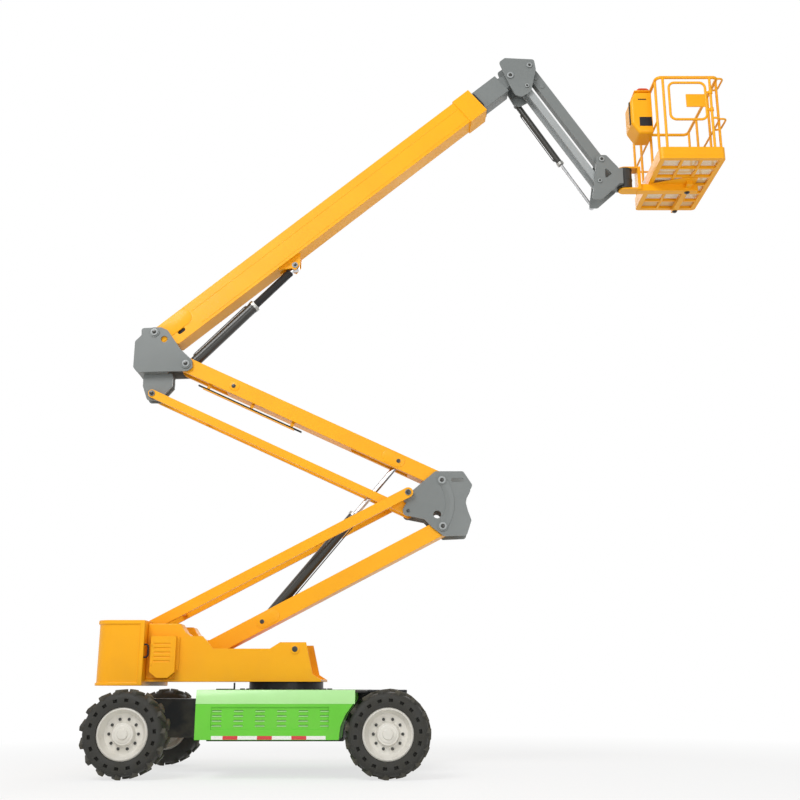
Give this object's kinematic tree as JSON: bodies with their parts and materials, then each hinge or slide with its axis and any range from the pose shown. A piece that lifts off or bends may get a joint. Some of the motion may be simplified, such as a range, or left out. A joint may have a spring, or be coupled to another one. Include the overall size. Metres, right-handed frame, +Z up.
{
  "type": "articulating boom lift",
  "caption": "Articulating boom lift: lugged wheels, slewing counterweighted turntable, folding riser, telescopic boom and a jib that carries a railed work platform.",
  "frame": {"origin": "on the ground under the middle of the part's bounding box", "axes": "+X from the counterweight towards the platform, +Y to the far side, +Z up"},
  "size_m": [7.013, 2.26, 8.5593],
  "materials": {
    "tyre": "matte",
    "rim": "satin",
    "frame_black": "satin",
    "green": "gloss",
    "yellow": "gloss",
    "grey": "satin",
    "light_grey": "satin",
    "steel": "polished",
    "ram_black": "satin",
    "boot": "matte",
    "mesh": "satin",
    "guard_red": "satin"
  },
  "bodies": {
    "chassis": {"chassis_frame": "frame_black", "deck": "frame_black", "cover_near": "green", "cover_far": "green", "slew_ring": "frame_black", "fixed_axle": "frame_black", "steer_axle": "frame_black", "battery": "frame_black"},
    "steer_knuckle_near": {"knuckle_near": "frame_black"},
    "steer_knuckle_far": {"knuckle_far": "frame_black"},
    "wheel_steer_near": {"tyre_steer_near": "tyre", "rim_steer_near": "rim"},
    "wheel_steer_far": {"tyre_steer_far": "tyre", "rim_steer_far": "rim"},
    "wheel_fixed_near": {"tyre_fixed_near": "tyre", "rim_fixed_near": "rim"},
    "wheel_fixed_far": {"tyre_fixed_far": "tyre", "rim_fixed_far": "rim"},
    "upper_works": {"turntable": "yellow", "counterweight": "yellow", "hood_near": "frame_black", "hood_far": "frame_black", "control_box": "grey"},
    "riser_lower": {"lower_arm": "yellow"},
    "riser_lower_links": {"lower_links": "yellow"},
    "elbow_bracket": {"elbow": "grey"},
    "riser_ram_barrel": {"riser_barrel": "ram_black"},
    "riser_ram_rod": {"riser_rod": "steel"},
    "riser_upper": {"upper_arm": "yellow", "hose_tray": "yellow", "tray_hoses": "boot"},
    "riser_upper_links": {"upper_links": "yellow"},
    "mast_bracket": {"mast": "grey"},
    "boom_outer": {"boom": "yellow"},
    "boom_ram_rod": {"boom_rod": "boot"},
    "boom_ram_barrel": {"boom_barrel": "ram_black"},
    "boom_fly": {"fly": "yellow"},
    "jib_root": {"jib_base": "grey"},
    "jib_upper": {"jib_beam": "grey"},
    "jib_lower": {"jib_links": "light_grey"},
    "jib_head": {"jib_end": "grey"},
    "jib_ram_barrel": {"jib_barrel": "ram_black"},
    "jib_ram_rod": {"jib_rod": "steel"},
    "platform": {"basket_support": "yellow", "basket_floor": "yellow", "toe_board": "yellow", "floor_mesh": "mesh", "basket_rails": "yellow", "console": "yellow", "guard_bar": "guard_red"},
    "platform_gate": {"gate": "yellow"}
  },
  "joints": [
    {"name": "steer_near", "type": "hinge", "parent": "chassis", "child": "steer_knuckle_near", "pos_m": [-3.0285, -0.7575, 0.42715], "axis": [0, 0, 1], "range_deg": [-34, 34]},
    {"name": "wheel_steer_near_spin", "type": "hinge", "parent": "steer_knuckle_near", "child": "wheel_steer_near", "pos_m": [-3.0285, -0.9725, 0.42715], "axis": [0, 1, 0], "continuous": true},
    {"name": "wheel_fixed_near_spin", "type": "hinge", "parent": "chassis", "child": "wheel_fixed_near", "pos_m": [-0.4365, -0.9725, 0.42715], "axis": [0, 1, 0], "continuous": true},
    {"name": "steer_far", "type": "hinge", "parent": "chassis", "child": "steer_knuckle_far", "pos_m": [-3.0285, 0.7575, 0.42715], "axis": [0, 0, 1], "range_deg": [-34.5, 34.5]},
    {"name": "wheel_steer_far_spin", "type": "hinge", "parent": "steer_knuckle_far", "child": "wheel_steer_far", "pos_m": [-3.0285, 0.9725, 0.42715], "axis": [0, 1, 0], "continuous": true},
    {"name": "wheel_fixed_far_spin", "type": "hinge", "parent": "chassis", "child": "wheel_fixed_far", "pos_m": [-0.4365, 0.9725, 0.42715], "axis": [0, 1, 0], "continuous": true},
    {"name": "slew", "type": "hinge", "parent": "chassis", "child": "upper_works", "pos_m": [-1.5535, 0, 0], "axis": [0, 0, 1], "continuous": true},
    {"name": "riser_lift", "type": "hinge", "parent": "upper_works", "child": "riser_lower", "pos_m": [-2.72003, 0, 1.09026], "axis": [0, -1, 0], "range_deg": [-24, 32]},
    {"name": "lower_link_swing", "type": "hinge", "parent": "upper_works", "child": "riser_lower_links", "pos_m": [-3.10603, 0, 1.46426], "axis": [0, -1, 0], "range_deg": [-24.5, 32.5]},
    {"name": "elbow_level", "type": "hinge", "parent": "riser_lower", "child": "elbow_bracket", "pos_m": [0.1575, 0, 2.601], "axis": [0, -1, 0], "range_deg": [-32.5, 24.5]},
    {"name": "riser_ram_swing", "type": "hinge", "parent": "riser_lower", "child": "riser_ram_barrel", "pos_m": [-1.8249, 0, 1.56022], "axis": [0, -1, 0], "range_deg": [-0.98, 1.14]},
    {"name": "riser_ram_stroke", "type": "slide", "parent": "riser_ram_barrel", "child": "riser_ram_rod", "axis": [0.6395, 0, 0.7688], "range_m": [-0.646, 0.858]},
    {"name": "upper_riser_lift", "type": "hinge", "parent": "elbow_bracket", "child": "riser_upper", "pos_m": [0.1525, 0, 3.121], "axis": [0, -1, 0], "range_deg": [-29.3, 22.1]},
    {"name": "upper_link_swing", "type": "hinge", "parent": "elbow_bracket", "child": "riser_upper_links", "pos_m": [-0.2295, 0, 2.775], "axis": [0, -1, 0], "range_deg": [-29.3, 22.1]},
    {"name": "mast_level", "type": "hinge", "parent": "riser_upper", "child": "mast_bracket", "pos_m": [-2.80809, 0, 4.49526], "axis": [0, -1, 0], "range_deg": [-22.1, 29.3]},
    {"name": "boom_lift", "type": "hinge", "parent": "mast_bracket", "child": "boom_outer", "pos_m": [-3.1955, 0, 4.881], "axis": [0, -1, 0], "range_deg": [-38, 37]},
    {"name": "boom_ram_swing", "type": "hinge", "parent": "boom_outer", "child": "boom_ram_rod", "pos_m": [-1.58087, 0, 5.76328], "axis": [0, -1, 0], "range_deg": [-1.24, 1.26]},
    {"name": "boom_ram_stroke", "type": "slide", "parent": "boom_ram_rod", "child": "boom_ram_barrel", "axis": [-0.6955, 0, -0.7186], "range_m": [-0.3482, 0.3393]},
    {"name": "telescope", "type": "slide", "parent": "boom_outer", "child": "boom_fly", "axis": [0.766, 0, 0.6428], "range_m": [0, 2.4]},
    {"name": "platform_level", "type": "hinge", "parent": "boom_fly", "child": "jib_root", "pos_m": [1.06997, 0, 8.30742], "axis": [0, -1, 0], "range_deg": [-37.5, 38.5]},
    {"name": "jib_lift", "type": "hinge", "parent": "jib_root", "child": "jib_upper", "pos_m": [1.3145, 0, 8.452], "axis": [0, -1, 0], "range_deg": [-8, 122]},
    {"name": "jib_link_swing", "type": "hinge", "parent": "jib_root", "child": "jib_lower", "pos_m": [1.2765, 0, 8.16], "axis": [0, -1, 0], "range_deg": [-8.5, 122.5]},
    {"name": "jib_head_level", "type": "hinge", "parent": "jib_upper", "child": "jib_head", "pos_m": [2.1625, 0, 7.14], "axis": [0, -1, 0], "range_deg": [-122.5, 8.5]},
    {"name": "jib_ram_swing", "type": "hinge", "parent": "jib_root", "child": "jib_ram_barrel", "pos_m": [1.1815, 0.182, 8.073], "axis": [0, -1, 0], "range_deg": [-8.26, 118.84]},
    {"name": "jib_ram_stroke", "type": "slide", "parent": "jib_ram_barrel", "child": "jib_ram_rod", "axis": [0.5321, 0, -0.8467], "range_m": [-0.1808, 0.0212]},
    {"name": "platform_swing", "type": "hinge", "parent": "jib_head", "child": "platform", "pos_m": [2.4565, 0, 6.85], "axis": [0, 0, 1], "range_deg": [-80, 80]},
    {"name": "gate_swing", "type": "hinge", "parent": "platform", "child": "platform_gate", "pos_m": [3.3905, -0.681, 7.615], "axis": [0, 0, -1], "range_deg": [0, 95]}
  ],
  "couplings": [
    {"joint": "steer_far", "follows": "steer_near", "ratio": 1},
    {"joint": "lower_link_swing", "follows": "riser_lift", "ratio": 1},
    {"joint": "elbow_level", "follows": "riser_lift", "ratio": -1},
    {"joint": "riser_ram_swing", "follows": "riser_lift", "ratio": 0.02},
    {"joint": "riser_ram_stroke", "follows": "riser_lift", "m_per_rad": 1.5183},
    {"joint": "upper_riser_lift", "follows": "riser_lift", "ratio": -0.9},
    {"joint": "upper_link_swing", "follows": "riser_lift", "ratio": -0.9},
    {"joint": "mast_level", "follows": "riser_lift", "ratio": 0.9},
    {"joint": "boom_ram_swing", "follows": "boom_lift", "ratio": -0.02},
    {"joint": "boom_ram_stroke", "follows": "boom_lift", "m_per_rad": 0.50993},
    {"joint": "platform_level", "follows": "boom_lift", "ratio": -1},
    {"joint": "jib_link_swing", "follows": "jib_lift", "ratio": 1},
    {"joint": "jib_head_level", "follows": "jib_lift", "ratio": -1},
    {"joint": "jib_ram_swing", "follows": "jib_lift", "ratio": 0.97},
    {"joint": "jib_ram_stroke", "follows": "jib_lift", "m_per_rad": -0.080214}
  ]
}
